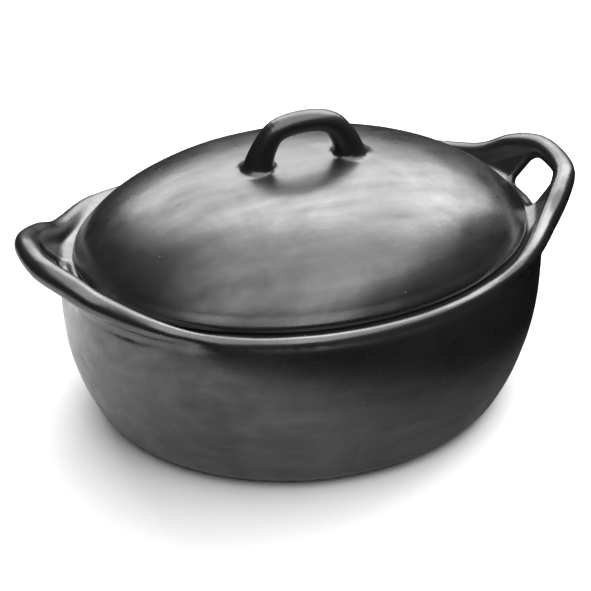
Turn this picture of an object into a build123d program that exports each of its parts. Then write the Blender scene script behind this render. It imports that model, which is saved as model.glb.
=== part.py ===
"""Lidded oval cooking pot in burnished black clay.

Potter's members, each its own solid. The pot is the bowl, the rim coil round its mouth, the seat
coil that holds the lid and an ear handle at each end. The lid is a hollow dome with a thin coil
round its edge and a strap handle on top. Millimetres, +Z up, +X along the pot's length, origin
on the table under the middle of the base.
"""
import os

from build123d import *

os.makedirs("parts", exist_ok=True)

# Pot, mouth and wall
rim_height = 120.0           # table to the top of the rim
mouth_half_length = 154.5    # inner edge of the rim
mouth_half_width = 119.0
rim_width = 6.5
rim_coil_height = 6.0
rim_round = 2.4
base_half_length = 135.0     # wall outline run down to the table, before the heel is rounded
base_half_width = 117.5
heel_radius = 12.0
belly_half_length = 162.0    # widest outline of the wall
belly_half_width = 135.0
side_draw = 7.0              # how far the long sides draw in from the belly to the rim
floor_thickness = 9.0
floor_half_length = 129.5    # inside outline run down to the floor, before the corner is rounded
floor_half_width = 111.5
floor_corner_radius = 14.0
hollow_half_length = 154.5   # widest outline of the inside
hollow_half_width = 126.0
wall_stations = (0.0, 0.2, 0.4, 0.6, 0.8, 1.0)

# Seat for the lid
seat_half_length = 144.0     # inner edge of the ledge
seat_half_width = 106.5
seat_height = 8.0
seat_lift = 3.5              # top of the ledge above the foot of the rim coil
seat_root = 4.0              # how far the ledge reaches outside the mouth, to meet the wall
lid_clearance = 0.3

# Lid: round numbers are along the length, the width follows from one ratio
lid_half_length = 147.5
lid_width_ratio = 0.752
lid_edge_height = 4.0
dome_rise = 47.0
lid_thickness = 7.0
lid_wall_at_edge = 9.5
edge_coil_width = 3.3
edge_coil_round = 1.9

# Strap handle on the lid, set a little behind the middle
strap_depth = 15.0
strap_back = 5.0
strap_round = 5.5
strap_root = 5.0             # how far the feet start below the top of the dome

# Ear handles
ear_reach = 188.5            # middle of the pot to the outside of a grip bar
grip_width = 15.0
grip_top = 146.5             # table to the top of a grip bar
ear_hole_half_length = 10.5  # along the pot; the inner half lies over the wall
ear_hole_half_width = 21.0
ear_round = 4.5
ear_inset = 0.5              # how far outside the mouth the ears start, on top of the rim

bowl_height = rim_height - rim_coil_height
seat_top = bowl_height + seat_lift
lid_base = seat_top + lid_clearance
dome_top = lid_base + lid_edge_height + dome_rise


def wall_oval(low, belly, share):
    """Half length and half width of a wall at a share of its height. It swells from its lowest
    oval to the belly, then the long sides draw in under the rim."""
    length, width = [a + (b - a) * (1 - (1 - share) ** 2.9) for a, b in zip(low, belly)]
    return length, width - side_draw * share**6


def dome_height(rise, share):
    """Height of a dome at a share of the way from its middle to its edge."""
    return rise * (1 - share**2.8) ** 0.8


def finish(piece, name):
    """Name a finished piece and write its file."""
    piece.part.label = name
    export_step(piece.part, f"parts/{name}.step")


# ---- Bowl: a thrown oval shell on a flat base -----------------------------------------------
base_oval = (base_half_length, base_half_width)
belly_oval = (belly_half_length, belly_half_width)
floor_oval = (floor_half_length, floor_half_width)
hollow_oval = (hollow_half_length, hollow_half_width)

with BuildPart() as bowl:
    for station in wall_stations:
        with BuildSketch(Plane.XY.offset(station * bowl_height)):
            Ellipse(*wall_oval(base_oval, belly_oval, station))
    loft()
    fillet(bowl.edges().sort_by(Axis.Z)[0], radius=heel_radius)
    for station in wall_stations:
        hollow_height = floor_thickness + station * (bowl_height - floor_thickness)
        with BuildSketch(Plane.XY.offset(hollow_height)):
            Ellipse(*wall_oval(floor_oval, hollow_oval, station))
    loft(mode=Mode.SUBTRACT)
    inside_faces = bowl.faces().filter_by(GeomType.PLANE).sort_by(Axis.Z)
    fillet(inside_faces[1].edges(), radius=floor_corner_radius)

# ---- Rim coil: the rounded roll of clay that finishes the mouth ------------------------------
with BuildPart() as rim_coil:
    with BuildSketch(Plane.XY.offset(bowl_height)):
        Ellipse(mouth_half_length + rim_width, mouth_half_width + rim_width)
        Ellipse(mouth_half_length, mouth_half_width, mode=Mode.SUBTRACT)
    extrude(amount=rim_coil_height)
    fillet(rim_coil.edges().group_by(Axis.Z)[-1], radius=rim_round)

# ---- Lid seat: the ledge luted to the inside of the wall and the rim -------------------------
with BuildPart() as lid_seat_coil:
    with BuildSketch(Plane.XY.offset(seat_top - seat_height)):
        Ellipse(mouth_half_length + seat_root, mouth_half_width + seat_root)
        Ellipse(seat_half_length, seat_half_width, mode=Mode.SUBTRACT)
    extrude(amount=seat_height)
    fillet(lid_seat_coil.edges().group_by(Axis.Z)[0].sort_by(SortBy.LENGTH)[0], radius=3)
    add([bowl.part, rim_coil.part], mode=Mode.SUBTRACT)

# ---- Ear handle: plan outline and side outline crossed, then pierced for the fingers ---------
with BuildPart() as right_ear_handle:
    with BuildSketch(Plane.XY.offset(rim_height - 30)):
        with BuildLine():
            outer_edge = Spline(
                (94, -102),
                (121, -92),
                (154, -58),
                (171.5, -41),
                (184, -22),
                (ear_reach, 0),
                (184, 22),
                (171.5, 41),
                (154, 58),
                (121, 92),
                (94, 102),
            )
            Line(outer_edge @ 1, outer_edge @ 0)
        make_face()
    extrude(amount=60)
    with BuildSketch(Plane.XZ):
        with BuildLine():
            ear_top = Spline(
                (90, rim_height),
                (119, rim_height + 5),
                (150, rim_height + 9),
                (167, grip_top - 6),
                (ear_reach + 5, grip_top),
            )
            ear_underside = Spline(
                (ear_reach + 5, grip_top - grip_width),
                (172, grip_top - grip_width - 3.5),
                (156, rim_height - 8),
                (128, rim_height - 10),
                (90, rim_height - 8),
            )
            Line(ear_top @ 1, ear_underside @ 0)
            Line(ear_underside @ 1, ear_top @ 0)
        make_face()
    extrude(amount=120, both=True, mode=Mode.INTERSECT)
    fillet(right_ear_handle.edges().filter_by(GeomType.BSPLINE).group_by(Axis.X)[-1], radius=ear_round)
    with BuildSketch(Plane.XY.offset(rim_height - 30)):
        with Locations((ear_reach - grip_width - ear_hole_half_length, 0)):
            Ellipse(ear_hole_half_length, ear_hole_half_width)
    extrude(amount=60, mode=Mode.SUBTRACT)
    with BuildSketch(Plane.XY.offset(rim_height - 30)):
        Ellipse(mouth_half_length + ear_inset, mouth_half_width + ear_inset)
    extrude(amount=60, mode=Mode.SUBTRACT)
    with BuildSketch(Plane.XY.offset(bowl_height)):
        Ellipse(mouth_half_length + seat_root + 1, mouth_half_width + seat_root + 1)
    extrude(amount=-30, mode=Mode.SUBTRACT)
    add([bowl.part, rim_coil.part], mode=Mode.SUBTRACT)

with BuildPart() as left_ear_handle:
    add(right_ear_handle.part)
    mirror(about=Plane.YZ, mode=Mode.REPLACE)

# ---- Lid dome: a shallow hollow dome that stands on the seat ---------------------------------
dome_stations = (1.0, 0.85, 0.7, 0.55, 0.4, 0.25, 0.1)
lid_half_width = lid_half_length * lid_width_ratio
lid_hollow_length = lid_half_length - lid_wall_at_edge
lid_hollow_width = lid_half_width - lid_wall_at_edge
lid_hollow_rise = lid_edge_height + dome_rise - lid_thickness

with BuildPart() as lid_dome:
    with BuildSketch(Plane.XY.offset(lid_base)):
        Ellipse(lid_half_length, lid_half_width)
    extrude(amount=lid_edge_height)
    for station in dome_stations:
        with BuildSketch(Plane.XY.offset(lid_base + lid_edge_height + dome_height(dome_rise, station))):
            Ellipse(lid_half_length * station, lid_half_width * station)
    loft()
    for station in dome_stations:
        with BuildSketch(Plane.XY.offset(lid_base + dome_height(lid_hollow_rise, station))):
            Ellipse(lid_hollow_length * station, lid_hollow_width * station)
    loft(mode=Mode.SUBTRACT)

# ---- Lid edge coil: the thin bead pressed round the lid's edge -------------------------------
with BuildPart() as lid_edge_coil:
    with BuildSketch(Plane.XY.offset(lid_base)):
        Ellipse(lid_half_length + edge_coil_width, lid_half_width + edge_coil_width)
        Ellipse(lid_half_length, lid_half_width, mode=Mode.SUBTRACT)
    extrude(amount=lid_edge_height)
    edge_coil_rims = lid_edge_coil.edges().group_by(Axis.Z)
    fillet(
        [rims.sort_by(SortBy.LENGTH)[-1] for rims in (edge_coil_rims[0], edge_coil_rims[-1])],
        radius=edge_coil_round,
    )

# ---- Lid handle: a strap bent into an arch, its feet spread on the dome ----------------------
strap_bottom = dome_top - strap_root
with BuildPart() as lid_handle:
    with BuildSketch(Plane.XZ.offset(-strap_back)):
        with BuildLine():
            strap_outside = Spline(
                (-47, strap_bottom),
                (-36, dome_top + 10),
                (-26, dome_top + 28),
                (0, dome_top + 35),
                (27, dome_top + 28),
                (38, dome_top + 10),
                (50, strap_bottom),
            )
            finger_arch = Spline(
                (24, strap_bottom),
                (22, dome_top + 7),
                (13, dome_top + 18.5),
                (-8, dome_top + 18.5),
                (-16, dome_top + 7),
                (-18, strap_bottom),
            )
            Line(strap_outside @ 1, finger_arch @ 0)
            Line(finger_arch @ 1, strap_outside @ 0)
        make_face()
    extrude(amount=strap_depth / 2, both=True)
    strap_edges = lid_handle.faces().sort_by(Axis.Y)[0].edges() + lid_handle.faces().sort_by(Axis.Y)[-1].edges()
    fillet(strap_edges.filter_by(GeomType.BSPLINE), radius=strap_round)
    add(lid_dome.part, mode=Mode.SUBTRACT)

for piece, name in (
    (bowl, "bowl"),
    (rim_coil, "rim_coil"),
    (lid_seat_coil, "lid_seat_coil"),
    (left_ear_handle, "left_ear_handle"),
    (right_ear_handle, "right_ear_handle"),
    (lid_dome, "lid_dome"),
    (lid_edge_coil, "lid_edge_coil"),
    (lid_handle, "lid_handle"),
):
    finish(piece, name)
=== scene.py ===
import math

import bpy
import numpy as np
from mathutils import Euler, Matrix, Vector


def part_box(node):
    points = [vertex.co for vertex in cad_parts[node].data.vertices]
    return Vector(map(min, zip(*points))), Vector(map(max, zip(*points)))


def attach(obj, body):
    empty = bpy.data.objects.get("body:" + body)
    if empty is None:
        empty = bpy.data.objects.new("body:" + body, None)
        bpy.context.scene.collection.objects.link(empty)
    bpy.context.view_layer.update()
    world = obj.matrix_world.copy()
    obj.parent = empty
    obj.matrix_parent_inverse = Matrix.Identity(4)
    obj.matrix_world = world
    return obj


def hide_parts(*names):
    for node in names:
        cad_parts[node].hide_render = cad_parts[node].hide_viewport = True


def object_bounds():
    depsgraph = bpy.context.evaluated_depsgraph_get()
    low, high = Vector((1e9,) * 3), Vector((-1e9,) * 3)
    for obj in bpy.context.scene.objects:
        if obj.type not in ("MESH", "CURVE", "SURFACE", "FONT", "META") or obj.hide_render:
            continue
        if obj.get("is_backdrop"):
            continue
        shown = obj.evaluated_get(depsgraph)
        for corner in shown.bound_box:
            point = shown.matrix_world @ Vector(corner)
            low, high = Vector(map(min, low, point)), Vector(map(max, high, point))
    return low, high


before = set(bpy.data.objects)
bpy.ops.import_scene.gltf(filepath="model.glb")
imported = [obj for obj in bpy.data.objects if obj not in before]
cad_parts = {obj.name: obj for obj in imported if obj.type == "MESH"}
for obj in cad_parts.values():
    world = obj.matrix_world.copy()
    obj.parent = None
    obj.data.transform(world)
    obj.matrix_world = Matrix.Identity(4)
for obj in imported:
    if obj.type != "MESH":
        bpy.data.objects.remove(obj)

bl_info = {
    "name": "Burnished Black Clay Pot",
    "version": (1, 0, 0),
    "blender": (4, 5, 0),
    "location": "View3D > Sidebar > Clay Pot",
    "description": "Sculpts a lidded oval pot in burnished black clay and its studio",
    "category": "Add Mesh",
}

# The frame is in metres; the clay is sculpted in millimetres.
MM = 1000.0
CAD_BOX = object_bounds()


def node_box(node):
    """Lowest and highest corner of a CAD node, in millimetres."""
    low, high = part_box(node)
    return np.array(low) * MM, np.array(high) * MM


BOWL_HIGH = node_box("bowl")[1]
RIM_HIGH = node_box("rim_coil")[1]
EAR_HIGH = node_box("right_ear_handle")[1]
SEAT_LOW, SEAT_HIGH = node_box("lid_seat_coil")
DOME_LOW, DOME_HIGH = node_box("lid_dome")
EDGE_LOW, EDGE_HIGH = node_box("lid_edge_coil")
STRAP_LOW, STRAP_HIGH = node_box("lid_handle")

RIM_TOP = RIM_HIGH[2]
RIM_WIDTH = 6.5
GRIP_RADIUS = 7.4
STRAP_RADIUS = 7.4


# ---- Sizes and colours that a user would change ----------------------------------------------
def linear(hex_colour):
    """Linear RGBA of an sRGB hex colour."""
    channels = [int(hex_colour[i : i + 2], 16) / 255 for i in (1, 3, 5)]
    return [c / 12.92 if c <= 0.04045 else ((c + 0.055) / 1.055) ** 2.4 for c in channels] + [1.0]


def millimetres(name, description, default):
    """A length property, kept in millimetres."""
    return bpy.props.FloatProperty(name=name, description=description, default=default, min=0.0)


def colour(name, description, hex_colour):
    """A colour property with a hex default."""
    return bpy.props.FloatVectorProperty(
        name=name, description=description, default=linear(hex_colour), size=4, subtype="COLOR"
    )


class ClaySizes(bpy.types.PropertyGroup):
    rim_roll: millimetres("Rim roll", "Radius of the roll of clay round the mouth, in mm", 4.0)
    lip: millimetres("Lip", "Radius of the thin lip behind each finger hole, in mm", 2.5)
    grip: millimetres("Grip", "Radius of the grip bar of an ear handle, in mm", GRIP_RADIUS)
    strap: millimetres("Strap", "Radius of the strap handle at its top, in mm", STRAP_RADIUS)
    luting: millimetres("Luting", "Size of the smoothed joins between the clay members, in mm", 5.0)
    wobble: millimetres("Wobble", "How far the hand-built surface wanders, in mm", 0.35)


class ClayFinish(bpy.types.PropertyGroup):
    dark: colour("Dark clay", "Where the smoke took most", "#0e0e0f")
    light: colour("Grey clay", "Where the smoke took less", "#1c1c1d")
    grit: colour("Grit", "Pale grits in the clay", "#a8a6a2")
    roughness: bpy.props.FloatProperty(
        name="Roughness", description="Mean roughness of the burnished skin", default=0.3, min=0.0, max=1.0
    )
    variation: bpy.props.FloatProperty(
        name="Variation", description="How far the roughness strays from its mean",
        default=0.09, min=0.0, max=0.3,
    )
    stroke: millimetres("Stroke", "Width of a burnishing stroke, in mm", 1.6)
    cloud: millimetres("Cloud", "Size of the smoke clouds, in mm", 55.0)


class StudioSettings(bpy.types.PropertyGroup):
    floor: colour("Floor", "Pale studio floor", "#f2f2f2")
    key: bpy.props.FloatProperty(
        name="Key light", description="Power of each softbox behind the pot, in watts", default=37.0
    )
    fill: bpy.props.FloatProperty(
        name="Fill light", description="Power of the softbox overhead, in watts", default=135.0
    )
    turn: bpy.props.FloatProperty(
        name="Turn", description="How far the camera stands round to the left", default=math.radians(19.8),
        subtype="ANGLE",
    )
    rise: bpy.props.FloatProperty(
        name="Rise", description="How far the camera looks down", default=math.radians(32.8), subtype="ANGLE"
    )
    distance: bpy.props.FloatProperty(
        name="Distance", description="Camera to the pot", default=1.35, unit="LENGTH"
    )
    lens: bpy.props.FloatProperty(
        name="Lens", description="Focal length, in mm", default=126.1, unit="CAMERA"
    )


# ---- Clay as distance fields, in millimetres --------------------------------------------------
def eased(value, start, end):
    """0 up to the start, 1 past the end and a smooth run between them."""
    share = np.clip((value - start) / (end - start), 0, 1)
    return share * share * (3 - 2 * share)


def soft_union(a, b, fillet):
    """Join of two fields with a fillet of about that size."""
    h = np.clip(0.5 + 0.5 * (b - a) / fillet, 0, 1)
    return b + (a - b) * h - fillet * h * (1 - h)


def round_crossing(a, b, radius):
    """Overlap of two fields with its edge rounded to a radius."""
    u = np.maximum(a + radius, 0)
    v = np.maximum(b + radius, 0)
    return np.minimum(np.maximum(a, b), -radius) + np.sqrt(u * u + v * v)


def oval(x, y, half_length, half_width):
    """Distance from an upright oval in plan."""
    k = np.sqrt((x / half_length) ** 2 + (y / half_width) ** 2)
    g = np.sqrt((x / half_length**2) ** 2 + (y / half_width**2) ** 2)
    return k * (k - 1) / np.maximum(g, 1e-6)


def oval_roll(p, half_length, half_width, height, radius):
    """A roll of clay laid round an oval."""
    across = oval(p[:, 0], p[:, 1], half_length, half_width)
    return np.hypot(across, p[:, 2] - height) - radius


def coil(p, path, radii):
    """A coil of clay along a path, its radius changing from point to point."""
    best = np.full(len(p), 1e3, np.float32)
    square = (p * p).sum(1)
    for start, end, r0, r1 in zip(path[:-1], path[1:], radii[:-1], radii[1:]):
        along = end - start
        reach = along @ along
        run = p @ along - start @ along
        share = np.clip(run / reach, 0, 1)
        gap = square - 2 * (p @ start) + start @ start - 2 * share * run + share * share * reach
        best = np.minimum(best, np.sqrt(np.maximum(gap, 0)) - r0 - (r1 - r0) * share)
    return best


def web(p, path, foot, reach, radius):
    """A sheet of clay drawn from a foot line out to a path, between two distances from the middle.
    It thins out before the farther one."""
    side = np.sign(p[:, 1]) * np.clip(np.abs(p[:, 1]), *reach)
    outer, rise, inner = (np.interp(side, path[:, 1], line) for line in (path[:, 0], path[:, 2], foot))
    run_x, run_z = outer - inner, rise - WEB_HEIGHT
    gap_x, gap_z = p[:, 0] - inner, p[:, 2] - WEB_HEIGHT
    share = np.clip((gap_x * run_x + gap_z * run_z) / (run_x**2 + run_z**2 + 1e-6), 0, 1)
    flat = (gap_x - share * run_x) ** 2 + (gap_z - share * run_z) ** 2
    thin = np.clip((np.abs(side) - reach[1] + WEB_FADE) / WEB_FADE, 0, 1)
    thickness = radius * (1 + 0.3 * share) - WEB_THINNING * thin**2
    return (np.sqrt(flat + (p[:, 1] - side) ** 2) - thickness) * 0.85


def smooth_path(points, steps):
    """A Catmull-Rom curve through the points."""
    points = np.array(points, np.float32)
    ends = np.vstack([2 * points[0] - points[1], points, 2 * points[-1] - points[-2]])
    t = np.linspace(0, 1, steps, endpoint=False)[:, None]
    spans = []
    for a, b, c, d in zip(ends, ends[1:], ends[2:], ends[3:]):
        bend = (2 * a - 5 * b + 4 * c - d) * t**2
        twist = (3 * b - a - 3 * c + d) * t**3
        spans.append(0.5 * (2 * b + (c - a) * t + bend + twist))
    return np.vstack(spans + [points[-1:]]).astype(np.float32)


def hand_wobble(p, depth):
    """The slow wander of a hand-built surface, the same on every run."""
    random = np.random.default_rng(7)
    total = np.zeros(len(p), np.float32)
    for length, share in ((110.0, 0.6), (48.0, 0.28), (22.0, 0.12)):
        for _ in range(4):
            wave = random.normal(size=3)
            wave *= 2 * math.pi / (length * np.linalg.norm(wave))
            total += share * 0.5 * np.sin(p @ wave.astype(np.float32) + random.uniform(0, 2 * math.pi))
    return depth * total


# ---- The pot's members -------------------------------------------------------------------------
# The belly is the wall's widest oval, and the taper is how much smaller its foot is. A high swell
# keeps the wall upright for longer before it turns in to the foot.
BELLY = (BOWL_HIGH[0], BOWL_HIGH[1] + 1.3)
TAPER = (27.0, 17.5)
SWELL = 2.9
HOLLOW = (RIM_HIGH[0] - RIM_WIDTH, BOWL_HIGH[1] - 7.7)
HOLLOW_TAPER = (25.0, 14.5)
SIDE_DRAW = 7.0
FLOOR = 9.0
HEEL = 12.0
CORNER = 14.0
MOUTH = (RIM_HIGH[0] - RIM_WIDTH, RIM_HIGH[1] - RIM_WIDTH)
RIM_LINE = (RIM_HIGH[0] - RIM_WIDTH / 2, RIM_HIGH[1] - RIM_WIDTH / 2)
LIP_LINE = (RIM_LINE[0] - 2.5, RIM_LINE[1] - 1.0)
# Behind each finger hole the wall is pressed in, by a share of its length that grows with height,
# and the lip sinks by a few millimetres, more the nearer it is to the end.
PRESS_SHARE = 0.025
PRESS_HALF_WIDTH = 24.0
PRESS_HEIGHTS = (55.0, 105.0)
LIP_SINK = 2.0
LIP_SINK_RUN = (100.0, 140.0)


def pressed(p):
    """The ends of the wall pressed in behind the finger holes."""
    push = PRESS_SHARE * np.exp(-((p[:, 1] / PRESS_HALF_WIDTH) ** 2)) * eased(p[:, 2], *PRESS_HEIGHTS)
    return np.stack([p[:, 0] * (1 + push), p[:, 1], p[:, 2]], 1)


def oval_wall(p, belly, taper, foot):
    """Distance from a wall that swells from its foot and whose long sides draw in under the rim,
    measured square to it."""
    height = BOWL_HIGH[2] - foot
    share = np.clip((p[:, 2] - foot) / height, 0, 1)
    closing = (1 - share) ** SWELL
    lean = SWELL * (1 - share) ** (SWELL - 1) * taper[0] / height
    width = belly[1] - taper[1] * closing - SIDE_DRAW * share**6
    return oval(p[:, 0], p[:, 1], belly[0] - taper[0] * closing, width) / np.sqrt(1 + lean**2)


def end_drop(p):
    """How far the lip sinks behind the finger holes."""
    return LIP_SINK * eased(np.abs(p[:, 0]), *LIP_SINK_RUN)


def bowl_clay(p, sizes):
    """The oval shell, hollowed out and cut off level under the lip."""
    p = pressed(p)
    outside = round_crossing(oval_wall(p, BELLY, TAPER, 0.0), -p[:, 2], HEEL)
    hollow = round_crossing(oval_wall(p, HOLLOW, HOLLOW_TAPER, FLOOR), FLOOR - p[:, 2], CORNER)
    top = RIM_TOP - 2 * sizes.lip - 1 - 3 * end_drop(p)
    return round_crossing(np.maximum(outside, -hollow), p[:, 2] - top, 2.5)


def rim_clay(p, sizes):
    """A roll that sinks toward the ears, sooner at the back, and a thin lip inside it."""
    behind = np.clip(p[:, 1] / 60, 0, 1)
    sunk = 1.0 + (3.5 + 2 * behind) * eased(np.abs(p[:, 0]) + 35 * behind, 70, 130)
    roll = oval_roll(p, *RIM_LINE, RIM_TOP - sizes.rim_roll - sunk, sizes.rim_roll)
    lip = oval_roll(pressed(p), *LIP_LINE, RIM_TOP - sizes.lip - 2.5 - end_drop(p), sizes.lip)
    return soft_union(lip, roll, 2.0)


def seat_clay(p, sizes):
    """The ledge inside the mouth that the lid stands on."""
    inner = (MOUTH[0] - 13.5, MOUTH[1] - 15.5)
    ring = np.maximum(oval(p[:, 0], p[:, 1], *MOUTH), -oval(p[:, 0], p[:, 1], *inner))
    return round_crossing(ring, np.abs(p[:, 2] - (SEAT_LOW[2] + SEAT_HIGH[2]) / 2 + 0.3) - 3.6, 2.0)


# Each ear is a coil bent out from the rim and back, and a web that fills it in on both sides of
# the finger hole. The web leaves the wall under the rim and thins out toward the coil's roots.
EAR_PLAN = ((118.0, 87.5), (149.5, 53.5), (166.5, 36.0), (178.0, 19.5))
EAR_ROOT = 75.0
WEB_HEIGHT = RIM_TOP - 13.0
WEB_RADIUS = 3.0
WEB_JOIN = 5.0
WEB_FADE = 22.0
WEB_THINNING = 6.0
HOLE_HALF_WIDTH = 21.5
SHOULDER = 100.0


def ear_lines(tip_rise, front, back):
    """Centre line of an ear's coil, its radii and the web's foot line. Front and back give how far
    the coil stands above the top of the rim at each point of the ear's plan."""
    tip = EAR_HIGH[0] - 7.2
    root = RIM_LINE[1] * math.sqrt(1 - (EAR_ROOT / RIM_LINE[0]) ** 2) - 1
    sides = []
    for sign, rises in ((-1, front), (1, back)):
        side = [(x, sign * y, RIM_TOP + rise) for (x, y), rise in zip(EAR_PLAN, rises)]
        sides.append([(EAR_ROOT, sign * root, RIM_TOP - 6.5)] + side)
    path = smooth_path(sides[0] + [(tip, 0, RIM_TOP + tip_rise)] + sides[1][::-1], 8)
    radii = 1.0 + 2.4 * eased(path[:, 0], 84, 110) + 4.1 * eased(path[:, 0], 90, tip - 12)
    foot = (LIP_LINE[0] - 2.5) * np.sqrt(np.maximum(1 - (path[:, 1] / LIP_LINE[1]) ** 2, 0))
    return path, radii, foot


RIGHT_EAR = ear_lines(18.5, front=(0.5, 4.5, 13.5, 18.0), back=(-6.0, 1.0, 13.5, 18.5))
LEFT_EAR = ear_lines(20.0, front=(0.0, 4.5, 13.5, 18.5), back=(-4.5, 0.0, 9.5, 16.0))


def ear_clay(p, lines, sizes):
    """One ear, drawn at the +X end."""
    path, radii, foot = lines
    near = (p[:, 0] > 60) & (p[:, 2] > RIM_TOP - 35)
    field = np.full(len(p), 60.0, np.float32)
    q = p[near]
    grip = coil(q, path, radii * (sizes.grip / GRIP_RADIUS))
    sheet = web(q, path, foot, (HOLE_HALF_WIDTH, SHOULDER), WEB_RADIUS)
    field[near] = soft_union(grip, sheet, WEB_JOIN)
    return field


def right_ear_clay(p, sizes):
    """The ear at the +X end."""
    return ear_clay(p, RIGHT_EAR, sizes)


def left_ear_clay(p, sizes):
    """The ear at the -X end, drawn as its mirror image."""
    return ear_clay(p * np.float32([-1, 1, 1]), LEFT_EAR, sizes)


# ---- The lid's members -------------------------------------------------------------------------
LID = (EDGE_HIGH[0] - 1.0, EDGE_HIGH[1] - 1.0)
LID_BASE = DOME_LOW[2]
EDGE_HEIGHT = EDGE_HIGH[2] - EDGE_LOW[2]
DOME_TOP = DOME_HIGH[2]
LID_WALL = 7.0
LID_SEAT_WIDTH = 9.5
# The dome falls off slowly near its middle and fast near its edge.
DOME_FLATNESS = 2.8
DOME_FULLNESS = 0.8


def dome_surface(p, half, foot, rise):
    """Distance from a shallow oval dome, measured square to it."""
    x, y = p[:, 0], p[:, 1]
    share = np.sqrt((x / half[0]) ** 2 + (y / half[1]) ** 2)
    inner = np.clip(share, 1e-4, 0.985)
    body = 1 - inner**DOME_FLATNESS
    height = foot + rise * body**DOME_FULLNESS
    fall = rise * DOME_FULLNESS * DOME_FLATNESS
    fall = fall * inner ** (DOME_FLATNESS - 1) * body ** (DOME_FULLNESS - 1)
    steep = fall * np.sqrt((x / half[0] ** 2) ** 2 + (y / half[1] ** 2) ** 2) / np.maximum(share, 1e-4)
    height = height - fall * (share - inner)
    return (p[:, 2] - height) / np.sqrt(1 + steep**2)


def dome_clay(p, sizes):
    """The hollow dome."""
    rise = DOME_TOP - LID_BASE - EDGE_HEIGHT
    top = dome_surface(p, LID, LID_BASE + EDGE_HEIGHT, rise)
    outside = round_crossing(top, oval(p[:, 0], p[:, 1], *LID), 1.5)
    inner = (LID[0] - LID_SEAT_WIDTH, LID[1] - LID_SEAT_WIDTH)
    hollow = dome_surface(p, inner, LID_BASE, DOME_TOP - LID_WALL - LID_BASE)
    hollow = np.maximum(hollow, oval(p[:, 0], p[:, 1], *inner))
    return np.maximum(round_crossing(outside, LID_BASE - p[:, 2], 1.5), -hollow)


def edge_clay(p, sizes):
    """The thin bead round the lid's edge."""
    radius = EDGE_HEIGHT * 0.45
    return oval_roll(p, EDGE_HIGH[0] - radius, EDGE_HIGH[1] - radius, LID_BASE + radius + 0.3, radius)


# Middle line of the strap handle: distance from its middle, and share of its rise over the dome.
# The feet start inside the dome's wall.
STRAP_ARCH = ((-26, 0.45), (-17, 0.88), (1, 1.0), (18, 0.88), (28, 0.45))
STRAP_FEET = (-31.5, 34)
STRAP_FOOT_DEPTH = 5


def strap_lines():
    """Centre line of the strap handle and its radii, thicker toward the feet."""
    back = (STRAP_LOW[1] + STRAP_HIGH[1]) / 2
    middle = (STRAP_LOW[0] + STRAP_HIGH[0]) / 2
    rise = STRAP_HIGH[2] - DOME_TOP - STRAP_RADIUS - 0.1
    arch = [(middle + x, back, DOME_TOP + share * rise) for x, share in STRAP_ARCH]
    left_foot, right_foot = [(middle + x, back, DOME_TOP - STRAP_FOOT_DEPTH) for x in STRAP_FEET]
    path = smooth_path([left_foot, *arch, right_foot], 6)
    drop = np.clip((DOME_TOP + rise - path[:, 2]) / (rise + STRAP_FOOT_DEPTH), 0, 1)
    return path, STRAP_RADIUS + 3.4 * drop**1.5


STRAP_PATH, STRAP_RADII = strap_lines()


def strap_clay(p, sizes):
    """The strap handle, cut off just under the top of the dome."""
    near = (p[:, 2] > DOME_TOP - 30) & (np.abs(p[:, 0]) < 80)
    field = np.full(len(p), 40.0, np.float32)
    field[near] = coil(p[near], STRAP_PATH, STRAP_RADII * (sizes.strap / STRAP_RADIUS))
    return np.maximum(field, DOME_TOP - 6.5 - p[:, 2])


# ---- Fusing the members and cutting the fused clay back into its pieces ----------------------
POT = {
    "bowl": bowl_clay,
    "rim_coil": rim_clay,
    "lid_seat_coil": seat_clay,
    "right_ear_handle": right_ear_clay,
    "left_ear_handle": left_ear_clay,
}
LID_MEMBERS = {"lid_dome": dome_clay, "lid_edge_coil": edge_clay, "lid_handle": strap_clay}
# How much of the luting size each member's own join takes.
LUTING = {
    "bowl": 1.0,
    "rim_coil": 0.6,
    "lid_seat_coil": 0.6,
    "right_ear_handle": 1.3,
    "left_ear_handle": 1.3,
    "lid_dome": 1.0,
    "lid_edge_coil": 1.1,
    "lid_handle": 0.9,
}
# Spacing of the grid that each member is meshed on, in millimetres.
CELLS = {
    "bowl": 2.0,
    "rim_coil": 1.4,
    "lid_seat_coil": 1.6,
    "right_ear_handle": 1.1,
    "left_ear_handle": 1.1,
    "lid_dome": 1.8,
    "lid_edge_coil": 1.0,
    "lid_handle": 0.9,
}
# Past the line between two members a piece tucks under its neighbour, at most this deep, and runs
# on for this far, so that no gap shows.
TUCK_DEPTH = 1.5
TUCK_LENGTH = 7.0


def piece_clay(p, members, own, sizes):
    """The fused clay where one member is the nearest, tucked smoothly under its neighbours."""
    p = p.astype(np.float32)
    fields = {name: member(p, sizes) for name, member in members.items()}
    fused = None
    for name, field in fields.items():
        fused = field if fused is None else soft_union(fused, field, sizes.luting * LUTING[name])
    others = np.minimum.reduce([field for name, field in fields.items() if name != own])
    beyond = fields[own] - others
    tuck = np.minimum(0.02 * np.maximum(beyond, 0) ** 2, TUCK_DEPTH)
    return np.maximum(fused + hand_wobble(p, sizes.wobble) + tuck, beyond - TUCK_LENGTH)


# ---- From field to mesh -------------------------------------------------------------------------
BLOCK = 4  # grid points along each side of a block that is first sampled once, at its middle


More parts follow.
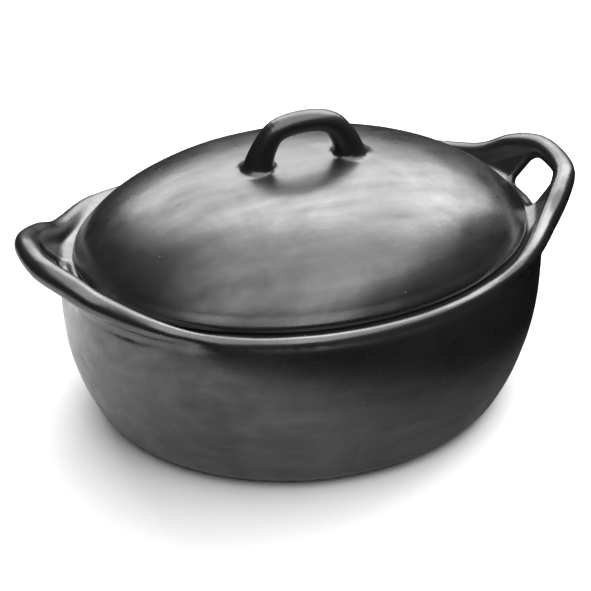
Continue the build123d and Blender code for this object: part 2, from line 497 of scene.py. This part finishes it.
def sampled(field, low, cell, counts):
    """The field on a grid, worked out in full only near its surface. Its outside faces are kept
    positive, so that the mesh is always closed."""
    counts = [int(math.ceil(n / BLOCK)) * BLOCK for n in counts]
    axes = [low[i] + cell * np.arange(counts[i]) for i in range(3)]
    middles = [a[::BLOCK] + cell * (BLOCK - 1) / 2 for a in axes]
    rough = field(np.stack(np.meshgrid(*middles, indexing="ij"), -1).reshape(-1, 3))
    rough = rough.reshape([len(m) for m in middles])
    for axis in range(3):
        rough = np.repeat(rough, BLOCK, axis)
    values = rough.astype(np.float32)
    near = np.abs(values) < cell * BLOCK * 1.05
    index = np.argwhere(near)
    values[near] = field(low + cell * index)
    for axis in range(3):
        for end in (0, -1):
            border = np.moveaxis(values, axis, 0)[end]
            np.maximum(border, 0.5 * cell, out=border)
    return values


def net(values, low, cell):
    """Surface net of a sampled field: one vertex in each crossed cell, one quad on each crossed edge."""
    inside = values < 0
    corner = [np.s_[:-1], np.s_[1:]]
    shape = tuple(n - 1 for n in values.shape)
    total = np.zeros(shape + (3,), np.float32)
    crossings = np.zeros(shape, np.float32)
    for axis in range(3):
        for j in (0, 1):
            for k in (0, 1):
                pick_a, pick_b = [None] * 3, [None] * 3
                b, c = [i for i in range(3) if i != axis]
                pick_a[axis], pick_b[axis] = corner[0], corner[1]
                pick_a[b] = pick_b[b] = corner[j]
                pick_a[c] = pick_b[c] = corner[k]
                va, vb = values[tuple(pick_a)], values[tuple(pick_b)]
                crossed = (va < 0) != (vb < 0)
                share = np.where(crossed, va / np.where(crossed, va - vb, 1), 0)
                total[..., axis] += share
                total[..., b] += crossed * j
                total[..., c] += crossed * k
                crossings += crossed
    cells = crossings > 0
    number = np.full(shape, -1, np.int64)
    number[cells] = np.arange(cells.sum())
    vertices = low + cell * (np.argwhere(cells) + total[cells] / crossings[cells][:, None])
    quads = []
    for axis in range(3):
        b, c = (axis + 1) % 3, (axis + 2) % 3
        pick_a = [np.s_[1:-1]] * 3
        pick_b = [np.s_[1:-1]] * 3
        pick_a[axis], pick_b[axis] = np.s_[:-1], np.s_[1:]
        sa, sb = inside[tuple(pick_a)], inside[tuple(pick_b)]
        for mask, flip in ((sa & ~sb, False), (~sa & sb, True)):
            at = np.argwhere(mask)
            base = at + 1
            base[:, axis] = at[:, axis]
            ring = []
            for db, dc in ((0, 0), (1, 0), (1, 1), (0, 1)):
                spot = base.copy()
                spot[:, b] -= db
                spot[:, c] -= dc
                ring.append(number[spot[:, 0], spot[:, 1], spot[:, 2]])
            quad = np.stack(ring, 1)
            quads.append(quad[:, ::-1] if flip else quad)
    return vertices, np.vstack(quads)


def settled(field, vertices, cell):
    """The vertices moved on to the true surface, in two short steps along the field's slope."""
    reach = 0.25
    for _ in range(2):
        value = field(vertices)
        slope = np.stack([(field(vertices + reach * e) - value) / reach for e in np.eye(3)], 1)
        move = value[:, None] * slope / np.maximum((slope * slope).sum(1), 0.2)[:, None]
        length = np.linalg.norm(move, axis=1, keepdims=True)
        vertices = vertices - move * np.minimum(1, 0.5 * cell / np.maximum(length, 1e-9))
    return vertices


MARGIN = 14.0


def sculpt(node, members, body):
    """Sculpts one clay member as a closed mesh that stands for its CAD node."""
    sizes = bpy.context.scene.clay_sizes
    cell = CELLS[node]

    def field(p):
        return piece_clay(p, members, node, sizes)

    low, high = node_box(node)
    low = low - MARGIN
    counts = np.ceil((high + MARGIN - low) / cell).astype(int) + 1
    vertices, quads = net(sampled(field, low, cell, counts), low, cell)
    vertices = settled(field, vertices, cell)
    mesh = bpy.data.meshes.new(node + "_clay")
    mesh.from_pydata((vertices / MM).tolist(), [], quads.tolist())
    mesh.validate()
    mesh.polygons.foreach_set("use_smooth", [True] * len(mesh.polygons))
    mesh.materials.append(burnished_black_clay())
    piece = bpy.data.objects.new(node + "_clay", mesh)
    bpy.context.scene.collection.objects.link(piece)
    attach(piece, body)
    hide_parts(node)
    return piece


# ---- Burnished black clay ------------------------------------------------------------------------
def add_node(tree, kind, settings=(), **links):
    """Adds a node, with its settings and what feeds its inputs."""
    node = tree.nodes.new(kind)
    for name, value in dict(settings).items():
        if isinstance(name, int) or name in node.inputs:
            node.inputs[name].default_value = value
        else:
            setattr(node, name, value)
    for name, source in links.items():
        key = name.replace("_", " ")
        target = node.inputs[int(name[1:])] if name[0] == "i" and name[1:].isdigit() else node.inputs[key]
        tree.links.new(source, target)
    return node


def scattered(tree, place, spacing, radius, share):
    """Small spots, one in a share of the cells of a scatter; 1 inside a spot and 0 outside. The
    spacing and radius are in millimetres."""
    cells = add_node(tree, "ShaderNodeTexVoronoi", {"Scale": MM / spacing, "Randomness": 1.0}, Vector=place)
    spot = add_node(
        tree, "ShaderNodeMapRange",
        {"From Min": radius / spacing, "From Max": 0.5 * radius / spacing}, Value=cells.outputs["Distance"],
    )
    chosen = add_node(
        tree, "ShaderNodeMath", {"operation": "LESS_THAN", 1: share}, i0=cells.outputs["Color"]
    )
    return add_node(
        tree, "ShaderNodeMath", {"operation": "MULTIPLY"},
        i0=spot.outputs["Result"], i1=chosen.outputs["Value"],
    ).outputs["Value"]


def burnished_black_clay():
    """Reduction-fired earthenware, polished with a stone before firing. The body is near black; the
    polished skin mirrors light softly, so most of what the eye sees is sheen. The stone leaves fine
    lengthways strokes, the smoke leaves clouds, and a few pits and pale grits show through."""
    name = "burnished_clay_skin"
    if name in bpy.data.materials:
        return bpy.data.materials[name]
    finish = bpy.context.scene.clay_finish
    material = bpy.data.materials.new(name)
    material.use_nodes = True
    tree = material.node_tree
    tree.nodes.clear()
    place = add_node(tree, "ShaderNodeTexCoord").outputs["Object"]
    cloud = add_node(
        tree, "ShaderNodeTexNoise",
        {"Scale": MM / finish.cloud, "Detail": 5.0, "Roughness": 0.62, "Distortion": 0.6}, Vector=place,
    ).outputs["Fac"]
    # The stone runs along the pot, so its strokes are about eleven times as long as they are wide.
    lengthways = add_node(tree, "ShaderNodeMapping", {"Scale": (0.09, 0.8, 1.0)}, Vector=place)
    stroke = add_node(
        tree, "ShaderNodeTexNoise",
        {"Scale": MM / finish.stroke, "Detail": 3.0, "Roughness": 0.65}, Vector=lengthways.outputs["Vector"],
    ).outputs["Fac"]
    band = add_node(
        tree, "ShaderNodeTexNoise",
        {"Scale": MM / finish.stroke / 6, "Detail": 2.0, "Roughness": 0.5},
        Vector=lengthways.outputs["Vector"],
    ).outputs["Fac"]
    # Finger marks from pressing the clay, about 14 mm apart.
    knead = add_node(
        tree, "ShaderNodeTexNoise", {"Scale": MM / 14, "Detail": 1.0, "Roughness": 0.4}, Vector=place
    ).outputs["Fac"]
    # Pits and grits that came up through the skin, each under a millimetre.
    pits = scattered(tree, place, 11.0, 0.55, 0.3)
    grits = scattered(tree, place, 9.0, 0.4, 0.16)

    smoke = add_node(tree, "ShaderNodeMix", {"data_type": "RGBA", 6: finish.dark, 7: finish.light}, i0=cloud)
    tone = add_node(
        tree, "ShaderNodeMix", {"data_type": "RGBA", 7: finish.grit}, i0=grits, i6=smoke.outputs[2]
    )
    worn = add_node(tree, "ShaderNodeMix", {"Factor": 0.35}, i2=cloud, i3=band).outputs[0]
    gloss = add_node(
        tree, "ShaderNodeMapRange",
        {
            "From Min": 0.32, "From Max": 0.68,
            "To Min": finish.roughness - finish.variation, "To Max": finish.roughness + finish.variation,
        },
        Value=worn,
    )
    sheen = add_node(
        tree, "ShaderNodeMapRange",
        {"From Min": 0.3, "From Max": 0.7, "To Min": 0.72, "To Max": 0.3}, Value=worn,
    )
    # Depths of the strokes, the finger marks and the pits, in millimetres.
    relief = None
    for height, depth in ((stroke, 0.04), (knead, 0.16), (pits, -0.3)):
        relief = add_node(
            tree, "ShaderNodeBump", {"Strength": 1.0, "Distance": abs(depth) / MM, "invert": depth < 0},
            Height=height, **({"Normal": relief.outputs["Normal"]} if relief else {}),
        )
    skin = add_node(
        tree, "ShaderNodeBsdfPrincipled", {"IOR": 1.75},
        Base_Color=tone.outputs[2], Roughness=gloss.outputs["Result"],
        Specular_IOR_Level=sheen.outputs["Result"], Normal=relief.outputs["Normal"],
    )
    add_node(tree, "ShaderNodeOutputMaterial", Surface=skin.outputs["BSDF"])
    return material


# ---- Operators -----------------------------------------------------------------------------------
class CLAYPOT_OT_bowl(bpy.types.Operator):
    """Sculpt the oval bowl"""

    bl_idname = "claypot.bowl"
    bl_label = "Bowl"

    def execute(self, context):
        sculpt("bowl", POT, "pot")
        return {"FINISHED"}


class CLAYPOT_OT_rim(bpy.types.Operator):
    """Roll the rim coil and the ledge inside it"""

    bl_idname = "claypot.rim"
    bl_label = "Rim and lid seat"

    def execute(self, context):
        sculpt("rim_coil", POT, "pot")
        sculpt("lid_seat_coil", POT, "pot")
        return {"FINISHED"}


class CLAYPOT_OT_ears(bpy.types.Operator):
    """Pull the two ear handles out of the rim"""

    bl_idname = "claypot.ears"
    bl_label = "Ear handles"

    def execute(self, context):
        for side in ("left_ear_handle", "right_ear_handle"):
            sculpt(side, POT, "pot")
        return {"FINISHED"}


class CLAYPOT_OT_lid(bpy.types.Operator):
    """Sculpt the hollow dome of the lid and the bead round its edge"""

    bl_idname = "claypot.lid"
    bl_label = "Lid"

    def execute(self, context):
        sculpt("lid_dome", LID_MEMBERS, "lid")
        sculpt("lid_edge_coil", LID_MEMBERS, "lid")
        return {"FINISHED"}


class CLAYPOT_OT_strap(bpy.types.Operator):
    """Bend the strap handle and spread its feet on the lid"""

    bl_idname = "claypot.strap"
    bl_label = "Strap handle"

    def execute(self, context):
        sculpt("lid_handle", LID_MEMBERS, "lid")
        return {"FINISHED"}


# ---- Studio ----------------------------------------------------------------------------------------
# Where the floor's mirror image in the clay is brightest, the middle of a pool of light painted into the
# floor's colour as the clay sees it, and how far the camera's axis stands off the middle of the lid's edge,
# across and up. Both are in metres.
BRIGHT_END = (-0.24, -0.02, 0.0)
AIM_SHIFT = (-0.0047, -0.045)


def pale_floor(floor_colour):
    """A matt pale floor, evenly pale to the camera. Its mirror image in the clay carries painted light: a pool
    of light painted by the pot's left end, and painted shade that darkens its colour toward black away from there."""
    material = bpy.data.materials.new("matt_pale_floor")
    material.use_nodes = True
    tree = material.node_tree
    tree.nodes.clear()
    place = add_node(tree, "ShaderNodeTexCoord").outputs["Object"]
    # Painted shade: for glossy rays the floor's colour is darkened toward black with distance from the bright end,
    # leaving a painted pool of light by the pot's left end.
    reach = add_node(tree, "ShaderNodeVectorMath", {"operation": "DISTANCE", 1: BRIGHT_END}, i0=place)
    fade = add_node(
        tree, "ShaderNodeMapRange",
        {
            "interpolation_type": "SMOOTHSTEP",
            "From Min": 0.16, "From Max": 0.46, "To Min": 0.2, "To Max": 1.0,
        },
        Value=reach.outputs["Value"],
    )
    mirrored = add_node(tree, "ShaderNodeLightPath").outputs["Is Glossy Ray"]
    painted_reflection_shade = add_node(
        tree, "ShaderNodeMath", {"operation": "MULTIPLY"}, i0=fade.outputs["Result"], i1=mirrored
    )
    tone = add_node(
        tree, "ShaderNodeMix", {"data_type": "RGBA", 6: floor_colour, 7: (0.0, 0.0, 0.0, 1.0)},
        i0=painted_reflection_shade.outputs["Value"],
    )
    skin = add_node(tree, "ShaderNodeBsdfDiffuse", Color=tone.outputs[2])
    add_node(tree, "ShaderNodeOutputMaterial", Surface=skin.outputs["BSDF"])
    return material


def studio_world(scene):
    """White behind the pot, but nearly dark for what lights the clay, so that only the softboxes
    and the floor show in its sheen."""
    world = bpy.data.worlds.new("studio_world")
    scene.world = world
    world.use_nodes = True
    tree = world.node_tree
    tree.nodes.clear()
    seen = add_node(tree, "ShaderNodeLightPath").outputs["Is Camera Ray"]
    room = add_node(tree, "ShaderNodeBackground", {"Color": (1, 1, 1, 1), "Strength": 0.03})
    backdrop = add_node(tree, "ShaderNodeBackground", {"Color": (1, 1, 1, 1), "Strength": 1.0})
    mixed = add_node(
        tree, "ShaderNodeMixShader", i0=seen, i1=room.outputs["Background"], i2=backdrop.outputs["Background"]
    )
    add_node(tree, "ShaderNodeOutputWorld", Surface=mixed.outputs["Shader"])


class CLAYPOT_OT_studio(bpy.types.Operator):
    """Lay the pale floor, hang the soft lights and set the camera"""

    bl_idname = "claypot.studio"
    bl_label = "Studio"

    def execute(self, context):
        studio = context.scene.clay_studio
        scene = context.scene
        mesh = bpy.data.meshes.new("floor")
        mesh.from_pydata([(x, y, 0.0) for x, y in ((-9, -9), (9, -9), (9, 9), (-9, 9))], [], [(0, 1, 2, 3)])
        mesh.materials.append(pale_floor(studio.floor))
        floor = bpy.data.objects.new("floor", mesh)
        scene.collection.objects.link(floor)
        floor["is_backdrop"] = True
        studio_world(scene)
        pot = Vector((0, 0, RIM_TOP / MM))
        for name, spot, width, depth, power in (
            ("back_softbox", (0.75, 1.45, 1.15), 3.2, 0.85, studio.key),
            ("high_softbox", (0.45, 0.95, 1.75), 3.0, 0.9, studio.key),
            ("overhead_softbox", (0.3, -0.2, 2.1), 5.4, 2.8, studio.fill),
        ):
            lamp = bpy.data.lights.new(name, "AREA")
            lamp.shape = "RECTANGLE"
            lamp.size, lamp.size_y, lamp.energy = width, depth, power
            light = bpy.data.objects.new(name, lamp)
            light.location = spot
            light.rotation_euler = (pot - Vector(spot)).to_track_quat("-Z", "Y").to_euler()
            scene.collection.objects.link(light)

        eye = bpy.data.cameras.new("camera")
        eye.lens = studio.lens
        eye.sensor_width = 36.0
        camera = bpy.data.objects.new("camera", eye)
        turned = Euler((math.pi / 2 - studio.rise, 0, -studio.turn)).to_matrix()
        lid_edge = Vector((0, 0, (LID_BASE + EDGE_HEIGHT) / MM))
        camera.location = lid_edge + turned @ Vector((*AIM_SHIFT, studio.distance))
        camera.rotation_euler = turned.to_euler()
        scene.collection.objects.link(camera)
        scene.camera = camera
        scene.view_settings.view_transform = "Standard"
        return {"FINISHED"}


class CLAYPOT_PT_panel(bpy.types.Panel):
    """Lists the steps that build the pot"""

    bl_label = "Clay Pot"
    bl_idname = "CLAYPOT_PT_panel"
    bl_space_type = "VIEW_3D"
    bl_region_type = "UI"
    bl_category = "Clay Pot"

    def draw(self, context):
        for group in (context.scene.clay_sizes, context.scene.clay_finish, context.scene.clay_studio):
            box = self.layout.box()
            for name in group.__annotations__:
                box.prop(group, name)
        for step in STEPS:
            self.layout.operator(step.bl_idname)


STEPS = (
    CLAYPOT_OT_bowl,
    CLAYPOT_OT_rim,
    CLAYPOT_OT_ears,
    CLAYPOT_OT_lid,
    CLAYPOT_OT_strap,
    CLAYPOT_OT_studio,
)
SETTINGS = {"clay_sizes": ClaySizes, "clay_finish": ClayFinish, "clay_studio": StudioSettings}
CLASSES = (*SETTINGS.values(), *STEPS, CLAYPOT_PT_panel)


def register():
    for entry in CLASSES:
        bpy.utils.register_class(entry)
    for name, group in SETTINGS.items():
        setattr(bpy.types.Scene, name, bpy.props.PointerProperty(type=group))


def unregister():
    for name in SETTINGS:
        delattr(bpy.types.Scene, name)
    for entry in reversed(CLASSES):
        bpy.utils.unregister_class(entry)


def main():
    register()
    for step in STEPS:
        area, action = step.bl_idname.split(".")
        getattr(getattr(bpy.ops, area), action)()
    sizes = {name: [list(corner) for corner in box] for name, box in (("cad", CAD_BOX), ("visual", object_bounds()))}


if __name__ == "__main__":
    main()
